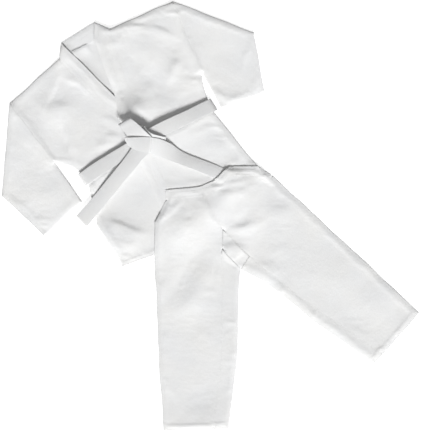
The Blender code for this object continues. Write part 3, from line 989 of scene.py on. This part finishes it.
# The jacket bulges a little along the trousers' waist.
fold(left_top, [(x, y + 0.0035) for x, y in WAIST_FREE], 2, 14, 3, (0.02, 0.02))
left_top = settled(left_top, after_right + CLEARANCE + CLOTH, 25, 0.08)
left_top = simulated(left_top, after_right, left_mask | left_sleeve_mask, under_belt, near_belt)
after_left = laid_on(after_right, left_top, left_mask)

jacket_finish = [jacket_cotton, thread]
trousers_finish = [trousers_cotton, thread]


def rows_of(kind, *distances):
    """Stitch rows inside the hems or seams, from their distances in millimetres."""
    return [(kind, distance) for distance in metres(distances)]


HEM_ROWS = rows_of("hem", 2.2, 11.2)
CUFF_ROWS = metres((2.5, 5.5, 8.5, 11.5))
LAPEL_ROWS = rows_of("hem", 2.5, 12.5, 22.5, 32.5, 43)
LEG_ROWS = rows_of("hem", 2.5, 6.5, 11) + rows_of("seam", 1.8)
WAIST_ROWS = rows_of("hem", 2.5, 9.5, 16.5, 25)
BACK_SHAPE = {"spacing": 0.006, "roll": 0.003}
pieces = {}


def jacket_panel(node, surface, under, hem, beside, rows, turn=TURN, kind="panel", **shape):
    """A panel of the jacket: hem is its hem or free edge, and beside names what it is sewn to."""
    made = panel(f"{node}_{kind}", node, surface, under, jacket_finish, turn, [hem], beside, rows=rows, **shape)
    pieces[node] = made


def jacket_band(node, surface, under, free_edge, beside, rows, turn=TURN):
    """A stitched band of the jacket, which has no turned-up hem."""
    jacket_panel(node, surface, under, free_edge, beside, rows, turn, kind="band", hem_step=0.0)


FRONT_ROWS = HEM_ROWS + rows_of("seam", 1.5)
jacket_panel("jacket_back", back_top, BLANK, JACKET_HEM, [], HEM_ROWS, **BACK_SHAPE)
sewn_to = ["lapel_right", "right_sleeve"]
jacket_panel("jacket_front_right", right_top, jacket_under, JACKET_HEM, sewn_to, FRONT_ROWS)
sewn_to = ["jacket_front_right", "collar_back"]
jacket_band("lapel_right", right_top + BAND_LIFT, jacket_under, RIGHT_FREE, sewn_to, LAPEL_ROWS, TURN + 1.3)
sewn_to = ["lapel_right", "jacket_back"]
jacket_band("collar_back", collar_top, jacket_under, COLLAR_FREE, sewn_to, LAPEL_ROWS[:3])
sewn_to = ["lapel_left", "left_sleeve"]
jacket_panel("jacket_front_left", left_top, after_right, JACKET_HEM, sewn_to, FRONT_ROWS)
sewn_to = ["jacket_front_left"]
jacket_band("lapel_left", left_top + BAND_LIFT, after_right, LEFT_FREE, sewn_to, LAPEL_ROWS, TURN - 1.45)


def tube(node, surface, turn, opens, rows):
    """A flat tube: an upper and a lower layer of cloth joined along its long sides, open where it says."""
    ring = resampled(outlines[node], SPACING)
    count = len(ring)
    edges = Edges(ring, opens, [])
    cuff_run = min(edges.runs("hem"), key=lambda run: far_from(opens[0], run, closed=False).mean())
    rails = [rail(ring, distance) for distance in ROLL_RAILS] + hem_rails(ring, cuff_run, HEM_WIDTH)
    points, triangles = flat_mesh(ring, SPACING, rails)
    low = 0.0005 + 0.3 * np.abs(sample(relief, points))
    middle = 0.0026

    def raised(where):
        """The upper side's height, with what the cuff's hem adds and the distance from the closed sides."""
        step = doubled(far_from(opens[0], where, closed=False))
        far_side = edges.far("roll", where)
        return middle + (sample(surface, where) + step - middle) * rounded(far_side, 0.0085), step, far_side

    top, step, far_side = raised(points)
    bottom = middle - 0.0003 - (middle - 0.0003 - low) * rounded(far_side, 0.004)
    thick = CLOTH + step
    top_inner = top - thick
    bottom_inner = bottom + thick
    gap = np.maximum(0.0003 - (top_inner - bottom_inner), 0.0)
    top_inner += gap / 2
    bottom_inner -= gap / 2
    size = len(points)
    layers = np.vstack([np.column_stack([points, z]) for z in (top, top_inner, bottom_inner, bottom)])
    faces = []
    for level in range(4):
        faces += copied(triangles, level * size, flip=level % 2 == 1)
    is_open = [bool(flag) for flag in edges.hem]
    closed_side = np.array([not is_open[k] and not is_open[k - 1] for k in range(count)])
    inner = points.copy()
    inner[:count][closed_side] += 0.0007 * inward(ring)[closed_side]
    layers[size : 2 * size, :2] = inner
    layers[2 * size : 3 * size, :2] = inner
    for a, b in rim_edges(triangles):
        key = a if (a + 1) % count == b else b
        if is_open[key]:
            faces.append((b, a, a + size, b + size))
            faces.append((b + 2 * size, a + 2 * size, a + 3 * size, b + 3 * size))
        else:
            faces.append((b, a, a + 3 * size, b + 3 * size))
            faces.append((a + size, b + size, b + 2 * size, a + 2 * size))
    for k in range(count):
        if is_open[k] != is_open[k - 1]:
            corner = (k, k + size, k + 2 * size, k + 3 * size)
            faces.append(corner if is_open[k] else corner[::-1])
    shell = Shell()
    shell.add(layers, grain_from(layers, turn), faces)
    for distance in rows:
        stitches(shell, inset(cuff_run, distance, trim=0.004), lambda where: raised(where)[0], turn)
    return shell.build(f"{node}_tube", jacket_finish)


def sleeve(side, surface, cuff, crease, outward):
    """A sleeve as a flat tube, open at its cuff and along its crease."""
    opens = [cuff, [tuple(np.array(p) + 0.0004 * outward) for p in crease]]
    turn = math.atan2(outward[1], outward[0])
    obj = tube(f"{side}_sleeve", surface, turn, opens, CUFF_ROWS)
    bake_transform(obj)
    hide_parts(f"{side}_sleeve")
    return obj


RIGHT_CREASE = jacket_mm(-297, 53, -280, 271)
LEFT_CREASE = jacket_mm(264, 62, 220, 281)
pieces["right_sleeve"] = sleeve("right", right_top, RIGHT_CUFF_HEM, RIGHT_CREASE, np.array([-0.7938, -0.6082]))
pieces["left_sleeve"] = sleeve("left", left_top, LEFT_CUFF_HEM, LEFT_CREASE, np.array([0.9295, 0.3688]))

# ---------------------------------------------------------------- belt


def strap(name, left_rail, right_rail, thickness, crown=0.0008, rows=8, closed=False, lengthwise=0.004):
    """A stiff strap between two rails, with parallel ridges along its length."""
    across = 26
    trace = closed_curve if closed else curve
    left, right = trace(left_rail, lengthwise), trace(right_rail, lengthwise)
    count = max(len(left), len(right))
    left, right = evenly(left, count), evenly(right, count)
    v = np.linspace(0.0, 1.0, across + 1)
    flat = left[:, None, :] * (1 - v)[None, :, None] + right[:, None, :] * v[None, :, None]
    if closed:
        along = np.roll(flat, -1, axis=0) - np.roll(flat, 1, axis=0)
    else:
        along = np.gradient(flat, axis=0)
    normal = np.cross(np.broadcast_to((right - left)[:, None, :], flat.shape), along)
    normal /= np.linalg.norm(normal, axis=2)[:, :, None]
    half = thickness / 2
    ridge = 0.00022 * np.abs(np.sin(math.pi * v * (rows + 1)))[None, :] ** 0.6
    bulge = crown * (1.0 - (2 * v - 1) ** 2)[None, :]
    upper = flat + normal * (half + ridge + bulge)[:, :, None]
    lower = flat - normal * (half + ridge * 0.5 - bulge)[:, :, None]
    points = np.vstack([upper.reshape(-1, 3), lower.reshape(-1, 3)])
    width = across + 1
    size = count * width
    faces, creases = [], []
    for i in range(count if closed else count - 1):
        here, after = i * width, (i + 1) % count * width
        for k in range(across):
            a, b, c, d = here + k, here + k + 1, after + k + 1, after + k
            faces.append((a, b, c, d))
            faces.append((d + size, c + size, b + size, a + size))
        faces.append((here, after, after + size, here + size))
        faces.append((after + across, here + across, here + across + size, after + across + size))
        creases += [(here + k, after + k) for k in (0, across, size, across + size)]
    if not closed:
        for k in range(across):
            faces.append((k + 1, k, k + size, k + 1 + size))
            e = (count - 1) * width + k
            faces.append((e, e + 1, e + 1 + size, e + size))
    distance = travelled(left + right) / 2
    wide = np.linalg.norm(right - left, axis=1).mean()
    grain = np.stack(np.broadcast_arrays(distance[:, None], v[None, :] * wide), axis=2).reshape(-1, 2)
    shell = Shell()
    shell.add(points, np.vstack([grain, grain]), faces)
    obj = shell.build(name, [belt_webbing, thread], creases=creases)
    if closed:
        last_step = np.linalg.norm(left[0] + right[0] - left[-1] - right[-1]) / 2
        distance = np.append(distance, distance[-1] + last_step)
    return obj


def evenly(path, count):
    """The path with that many points, evenly spaced."""
    done = travelled(path)
    at = np.linspace(0.0, done[-1], count)
    return np.stack([np.interp(at, done, path[:, k]) for k in range(path.shape[1])], axis=1)


def closed_curve(points, spacing):
    """A smooth closed curve through the points, without its first point again at the end."""
    points = np.asarray(points, float)
    wrapped = curve(np.vstack([points[-2:], points, points[:3]]), spacing)
    near_start = np.linalg.norm(wrapped - points[0], axis=1)
    first = int(np.argmin(near_start[: len(wrapped) // 2]))
    rest = np.linalg.norm(wrapped[first + 10 :] - points[0], axis=1)
    return wrapped[first : first + 10 + int(np.argmin(rest))]


BELT_TURN, BELT_GAP = 0.0019, 0.0002


def belt_rails(level):
    """The two edges of one turn of the belt round the waist, level 0 next to the cloth and 1 outside it."""
    lift = level * (BELT_TURN + BELT_GAP)
    out = 0.0016 + level * 0.0020
    rails = []
    for edge in (0, 1):
        right_b = (0.3335, 0.3735)[edge] + 0.0008 * (level - 0.5)
        left_b = (0.3590, 0.3970)[edge] + 0.0008 * (level - 0.5)
        knot_b = (0.3360, 0.3730)[edge]
        top_right, top_left = 0.0104 + lift, 0.0118 + lift
        back = 0.0039 - level * BELT_TURN
        roll_off = 0.0016 if edge == 0 else 0.0
        bow = 0.0034 if edge == 0 else 0.0010
        flat = [
            (-0.2300, right_b, top_right - 0.0006 - roll_off),
            (-0.1900, right_b * 0.8 + knot_b * 0.2, top_right + 0.0012 - roll_off),
            (-0.1300, right_b * 0.5 + knot_b * 0.5, top_right + 0.0020 - roll_off),
            (-0.0700, right_b * 0.2 + knot_b * 0.8, top_right + 0.0030 - 0.5 * roll_off),
            (-0.0330, knot_b, top_right + 0.0036),
            (0.0100, knot_b + 0.002, top_left + 0.0030 + 0.8 * bow - 0.5 * roll_off),
            (0.0800, left_b * 0.4 + knot_b * 0.6, top_left + 0.0020 + bow - roll_off),
            (0.1500, left_b * 0.8 + knot_b * 0.2, top_left + 0.0006 - roll_off),
            (0.1900, left_b, top_left - 0.0016 - roll_off),
            (0.1940 + out, left_b, 0.5 * (top_left + back)),
            (0.1900, left_b, back),
            (0.1000, left_b * 0.7 + right_b * 0.3, back),
            (-0.1000, left_b * 0.3 + right_b * 0.7, back),
            (-0.2300, right_b, back),
            (-0.2350 - out, right_b, 0.5 * (top_right + back)),
        ]
        rails.append([(*jacket([(a, b)])[0], z) for a, b, z in flat])
    return rails[0], rails[1]


for level, name in enumerate(("belt_inner_turn", "belt_outer_turn")):
    pieces[name] = strap(name, *belt_rails(level), 0.0016, crown=0.0004, closed=True)

RIGHT_END_UPPER = rail_mm(
    -213, 214, 19.5, -226, 197, 19, -239, 179, 18.5,
    -270, 140, 17, -318, 83, 13, -388, -1, 7.5,
)
RIGHT_END_LOWER = rail_mm(
    -172, 186, 24, -187, 169, 23, -205, 150, 21,
    -240, 110, 17.5, -288, 52, 13.5, -358, -32, 8,
)
LEFT_END_UPPER = rail_mm(
    -184, 226, 27.5, -150, 222, 26, -115, 210, 18,
    -80, 186, 11.2, 0, 153, 8.2, 81, 119, 7.6,
)
LEFT_END_LOWER = rail_mm(
    -187, 185, 22.5, -160, 176, 20, -125, 161, 17.8,
    -80, 146, 15, -10, 118, 10.8, 66, 86, 8.2,
)
LOOP_UPPER = rail_mm(-191, 259.5, 27, -179.5, 244.5, 29, -165, 235, 27.5, -142, 229.5, 24, -129, 228, 19)
LOOP_LOWER = rail_mm(-199, 252, 24.5, -188, 236, 26, -168, 225, 25, -143, 219, 21.5, -129, 217.5, 17)
OVER_LEFT = rail_mm(
    -231, 281.5, 24, -228.5, 279.5, 33, -210, 265, 35,
    -190, 246, 35.2, -171, 228, 32, -165, 221, 25,
)
OVER_RIGHT = rail_mm(
    -266, 262.5, 21, -263.5, 260, 27.5, -251, 246, 28.4,
    -239, 231, 28.8, -226, 218, 28.2, -218, 210, 25,
)
UNDER_LEFT = rail_mm(
    -249, 225.5, 22, -244, 226, 30, -225, 226.5, 33.8,
    -193, 226.2, 34.2, -171.5, 225.5, 32.8, -169.5, 225, 30.5,
)
UNDER_RIGHT = rail_mm(
    -238, 208, 20, -233, 200, 28.5, -216, 188, 31.8,
    -193, 184, 32.6, -176.5, 182, 31.2, -174.5, 182, 28.5,
)
CORE_LEFT = rail_mm(
    -186, 258, 16.5, -184, 250, 22.5, -180, 235, 25.5,
    -181, 215, 25.5, -184, 196, 24.5, -186, 193, 18.5,
)
CORE_RIGHT = rail_mm(
    -240, 266, 16.5, -240, 258, 22.5, -240, 240, 25,
    -234, 224, 25, -224, 208, 24, -222, 205, 18.5,
)

END_THICKNESS, LOOP_THICKNESS = 0.0026, 0.0022
FINE = 0.002
for key, left, right, settings in (
    ("end_right", RIGHT_END_LOWER, RIGHT_END_UPPER, {}),
    ("end_left", LEFT_END_UPPER, LEFT_END_LOWER, {}),
    ("knot_loop", LOOP_UPPER, LOOP_LOWER, {"crown": 0.0002, "rows": 2, "lengthwise": FINE}),
    ("knot_core", CORE_LEFT, CORE_RIGHT, {"crown": 0.0015}),
    ("knot_over", OVER_LEFT, OVER_RIGHT, {"crown": 0.0005, "lengthwise": FINE}),
    ("knot_under", UNDER_LEFT, UNDER_RIGHT, {"crown": 0.0004, "lengthwise": FINE}),
):
    thickness = LOOP_THICKNESS if key == "knot_loop" else END_THICKNESS
    pieces[key] = strap(f"belt_{key}_strap", left, right, thickness, **settings)

# ---------------------------------------------------------------- trousers

DRAPE = 0.042
WAIST_REACH = 0.055
WAIST_TURN = 0.4
# The trousers lie on the belt's left end.
end_mask = mask_of(np.vstack([LEFT_END_UPPER, LEFT_END_LOWER[::-1]])[:, :2])
end_share = nearest(((LEFT_END_UPPER + LEFT_END_LOWER) / 2)[:, :2], GRID_X, GRID_Y)[1]
end_heights = np.interp(end_share, np.linspace(0, 1, 6), np.maximum(LEFT_END_UPPER[:, 2], LEFT_END_LOWER[:, 2]))
trousers_under = np.where(end_mask, np.maximum(after_left, end_heights + 0.0016), after_left)

trousers_back_mask = union("waistband_back", "right_leg_back", "left_leg_back")
waist_line = curve(WAIST_FREE)
far_waist, along_waist = nearest(waist_line, GRID_X, GRID_Y)
at_waist = np.exp(-((far_waist / WAIST_REACH) ** 2))
trousers_back_top = draped(trousers_under, DRAPE) + 0.0013 + 0.5 * relief
tight = np.maximum(blurred(trousers_under, 0.004), trousers_under - 0.004) + CLEARANCE + CLOTH
trousers_back_top += at_waist * (tight - trousers_back_top)
trousers_back_top = settled(trousers_back_top, trousers_under + CLEARANCE + CLOTH, 60, 0.03)
front_under = laid_on(trousers_under, trousers_back_top, trousers_back_mask)

front_nodes = ["waistband_front", "crotch_gusset"]
front_nodes += [f"{side}_leg_{part}" for side in ("right", "left") for part in ("front", "gusset")]
trousers_front_mask = union(*front_nodes)
front_top = draped(front_under, DRAPE) + 0.0018 + relief
tight = blurred(front_under, 0.004) + CLEARANCE + CLOTH
front_top += at_waist * (tight - front_top)
TROUSER_FOLDS = [
    (3, 12, 5, -165, -24, -106, 18, -81, 58),
    (-3.4, 8, 5, -78, -20, -55, 8, -49, 60),
    (3.4, 6, 10, -30, 75, -15, 36, 5, -6, 37, -43),
    (-2.4, 5, 5, -90, 30, -63, 23),
    (2.6, 4, 14, 33, 91, 74, 99, 126, 108),
    (3.4, 5, 22, 7, 70, 57, 69, 103, 75, 129, 92),
    (1.8, 5, 12, 138, 113, 161, 116, 190, 99),
    (2.4, 5, 22, 39, -41, 86, -32, 138, -22, 170, -8),
    (2, 20, 16, 51, -24, 109, 31, 167, 105),
    (3.4, 30, 18, 167, 60, 110, -25, 51, -59),
    (2.6, 18, 34, 149, 12, 202, 12, 248, 27),
    (5.2, 14, 60, 24, -140, 38, -104, 68, -90, 98, -103, 112, -130),
    (1.4, 12, 14, 51, -132, 86, -132),
    (-3, 20, 22, 10, -70, -48, -134, -83, -201, -129, -270),
    (1.8, 20, 20, 40, -110, -10, -180, -50, -240, -90, -290),
    (1.4, 22, 26, -146, -279, -59, -267, 33, -250),
    (-2, 5, 6, 33, -76, 19, -134, 7, -201),
    (1.4, 6, 10, -30, -227, 16, -215),
    (1, 8, 14, -42, -325, 16, -363),
    (1, 12, 14, -123, -488, -88, -534, -100, -575),
    (1.6, 4, 8, 36, -305, 83, -311),
    (1.4, 4, 8, 39, -346, 65, -334),
    (1.4, 4, 8, 51, -404, 80, -395),
    (1.4, 4, 8, 36, -421, 74, -421),
    (1.2, 4, 8, 33, -499, 74, -508),
    (3, 7, 14, 126, -145, 161, -146, 202, -184),
    (2.2, 4, 8, 193, -227, 219, -207),
    (1.8, 4, 8, 291, -299, 315, -270),
    (1.2, 10, 22, 323, -302, 390, -325, 468, -360),
    (1.2, 10, 22, 149, -105, 231, -99, 289, -117),
    (1.2, 8, 12, 474, -412, 503, -378),
    (2.2, 50, 120, -170, -150, -80, -160, 20, -170),
    (3, 52, 16, -135, -612, -40, -614, 58, -612),
]
folds(front_top, TROUSER_FOLDS, path_mm)
GUSSET_SEAMS = [
    path_mm(33.4, -100, 34.4, -250, 34.4, -390, 7.4, -620.7),
    path_mm(114.4, -120, 259.4, -238.7, 380, -320.8, 501.4, -402.7),
]
for seam in GUSSET_SEAMS:
    fold(front_top, seam, -0.6, 3, 3, (0.02, 0.02))
gathers = np.sin(along_waist * 2 * math.pi * 38 + 2.0 * np.sin(along_waist * 17))
gathers += 0.6 * np.sin(along_waist * 2 * math.pi * 61 + 1.0)
front_top += 0.0012 * gathers * np.exp(-((np.abs(far_waist) / 0.034) ** 2))
trousers_back_top += 0.0005 * gathers * np.exp(-((np.abs(far_waist) / 0.030) ** 2))
front_top = settled(front_top, front_under + CLEARANCE + CLOTH, 25, 0.08)

near_crotch = np.exp(-((np.hypot(GRID_X - 0.06, GRID_Y + 0.05) / 0.16) ** 2))
trousers_slack = 0.35 + 0.65 * near_crotch
front_top = simulated(front_top, front_under, trousers_front_mask, BLANK, trousers_slack)


def leg_panel(side, layer, beside, rows, surface, under, **shape):
    """A leg's panel from waist to cuff, cut from one outline joined across the knee."""
    node = f"{side}_leg_{layer}"
    shape |= {"rows": rows, "hem_width": 0.018, "sunk": 0.0 if layer == "back" else PRESSED}
    hems = [LEG_HEMS[side]]
    obj = panel(f"{node}_panel", node, surface, under, trousers_finish, LEG_TURNS[side], hems, beside, **shape)
    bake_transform(obj)
    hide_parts(f"{side}_thigh_{layer}", f"{side}_shin_{layer}")
    return obj


free_edges = []
for side, other in (("right", "left"), ("left", "right")):
    beside = [f"{other}_leg_back", "waistband_back"]
    rows = LEG_ROWS[:3]
    pieces[f"{side}_back"] = leg_panel(side, "back", beside, rows, trousers_back_top, trousers_under, **BACK_SHAPE)
    beside = [f"{other}_leg_front", f"{side}_leg_gusset", "crotch_gusset", "waistband_front"]
    pieces[f"{side}_front"] = leg_panel(side, "front", beside, LEG_ROWS, front_top, front_under)
    beside = [f"{side}_leg_front", f"{other}_leg_gusset", "crotch_gusset"]
    pieces[f"{side}_gusset"] = leg_panel(side, "gusset", beside, LEG_ROWS, front_top, front_under)
    free_edges += Edges(resampled(outlines[f"{side}_leg_gusset"], SPACING), [LEG_HEMS[side]], beside).runs("roll")

beside = [f"{side}_leg_{layer}" for side in ("right", "left") for layer in ("front", "gusset")]
shape = {"beside": beside, "rows": rows_of("seam", 1.8), "sunk": PRESSED, "free": free_edges}
turn = LEG_TURNS["right"]
crotch = panel("crotch_gusset_panel", "crotch_gusset", front_top, front_under, trousers_finish, turn, **shape)
pieces["crotch_gusset"] = crotch


def drawn_in(outline, path):
    """The waistband's outline with its free edge drawn in a little, in waves, so the back's edge shows."""
    ring = resampled(outline, SPACING)
    side, share = nearest(path, ring[:, 0], ring[:, 1])
    middle = ring.mean(axis=0)
    inwards = middle - ring
    inwards /= np.linalg.norm(inwards, axis=1)[:, None]
    amount = 0.0030 + 0.0012 * np.sin(share * 2 * math.pi * 30)
    return ring + (amount * (np.abs(side) < 0.003))[:, None] * inwards


outlines["waistband_drawn_in"] = drawn_in(outlines["waistband_front"], waist_line)
for layer, node, surface, under in (
    ("back", "waistband_back", trousers_back_top, trousers_under),
    ("front", "waistband_drawn_in", front_top, front_under),
):
    beside = [f"{side}_leg_{layer}" for side in ("right", "left")]
    shape = {"hems": [WAIST_FREE], "beside": beside, "rows": WAIST_ROWS, "hem_step": 0.0}
    top = surface + BAND_LIFT
    name = f"waistband_{layer}"
    pieces[name] = panel(f"{name}_band", node, top, under, trousers_finish, WAIST_TURN, **shape)

# ---------------------------------------------------------------- what each piece rides on and stands for


def belongs(obj, body, finish, *nodes):
    """Which body a piece moves with and the CAD nodes it stands for."""
    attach(obj, body)
    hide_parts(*nodes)


LIES_ON = {
    "jacket_back": "floor",
    "jacket_front_right": "jacket_back",
    "lapel_right": "jacket_back",
    "collar_back": "jacket_back",
    "jacket_front_left": "jacket_front_right",
    "lapel_left": "jacket_front_right",
}
for node, lower in LIES_ON.items():
    belongs(pieces[node], "jacket", "jacket_cotton", node)
BELT_PIECES = {
    "belt_inner_turn": ("belt_back",),
    "belt_outer_turn": ("belt_side_right", "belt_side_left", "belt_band_right", "belt_band_left"),
    "end_left": ("belt_end_left",),
    "knot_core": ("belt_knot_core",),
    "knot_loop": ("belt_knot_core",),
    "knot_over": ("belt_knot_over",),
    "knot_under": ("belt_knot_under",),
}
for key, nodes in BELT_PIECES.items():
    belongs(pieces[key], "jacket", "belt_webbing", *nodes)
end = pieces["end_right"]
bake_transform(end)
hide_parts("belt_end_right")
for node, held in {"crotch_gusset": "laid", "waistband_back": "gathered", "waistband_front": "gathered"}.items():
    belongs(pieces[node], "trousers", "trousers_cotton", node)

# ---------------------------------------------------------------- floor, light, camera

floor_mesh = bpy.data.meshes.new("floor")
corners = ((-60, -60), (60, -60), (60, 60), (-60, 60))
floor_mesh.from_pydata([(x, y, -0.0004) for x, y in corners], [], [(0, 1, 2, 3)])
floor = linked("floor", floor_mesh)
nodes = Nodes("floor_white")
paper = noise_of(nodes, nodes.add("ShaderNodeTexCoord").outputs["Object"], 3.0)
nodes.link(ramp(nodes, paper, 0.3, 0.7, (0.88, 0.88, 0.88), (0.9, 0.9, 0.9)), "Base Color")
white = (1.0, 1.0, 1.0, 1.0)
for socket, value in (("Roughness", 0.9), ("Emission Color", white), ("Emission Strength", 0.62)):
    nodes.shader.inputs[socket].default_value = value
floor_mesh.materials.append(nodes.made)

KEY_ELEVATION = math.radians(29.0)
KEY_AZIMUTH = math.radians(10.0)
key = linked("key", bpy.data.lights.new("key", "SUN"))
key.data.energy = 4.95
key.data.angle = math.radians(16.0)
flat = math.cos(KEY_ELEVATION)
toward = Vector((flat * math.sin(KEY_AZIMUTH), -flat * math.cos(KEY_AZIMUTH), math.sin(KEY_ELEVATION)))
key.rotation_mode = "QUATERNION"
key.rotation_quaternion = toward.to_track_quat("Z", "Y")
world = bpy.data.worlds.new("studio")
world.use_nodes = True
background = world.node_tree.nodes["Background"].inputs
background["Color"].default_value = white
background["Strength"].default_value = 0.29
bpy.context.scene.world = world
bpy.context.scene.view_settings.view_transform = "Standard"
bpy.context.scene.view_settings.look = "None"

camera = linked("camera", bpy.data.cameras.new("camera"))
camera.data.lens = 85.0
camera.data.sensor_width = 36.0
camera.location = (0.0014, -0.0123, 3.022)
camera.data.clip_end = 20.0
bpy.context.scene.camera = camera

bpy.context.view_layer.update()
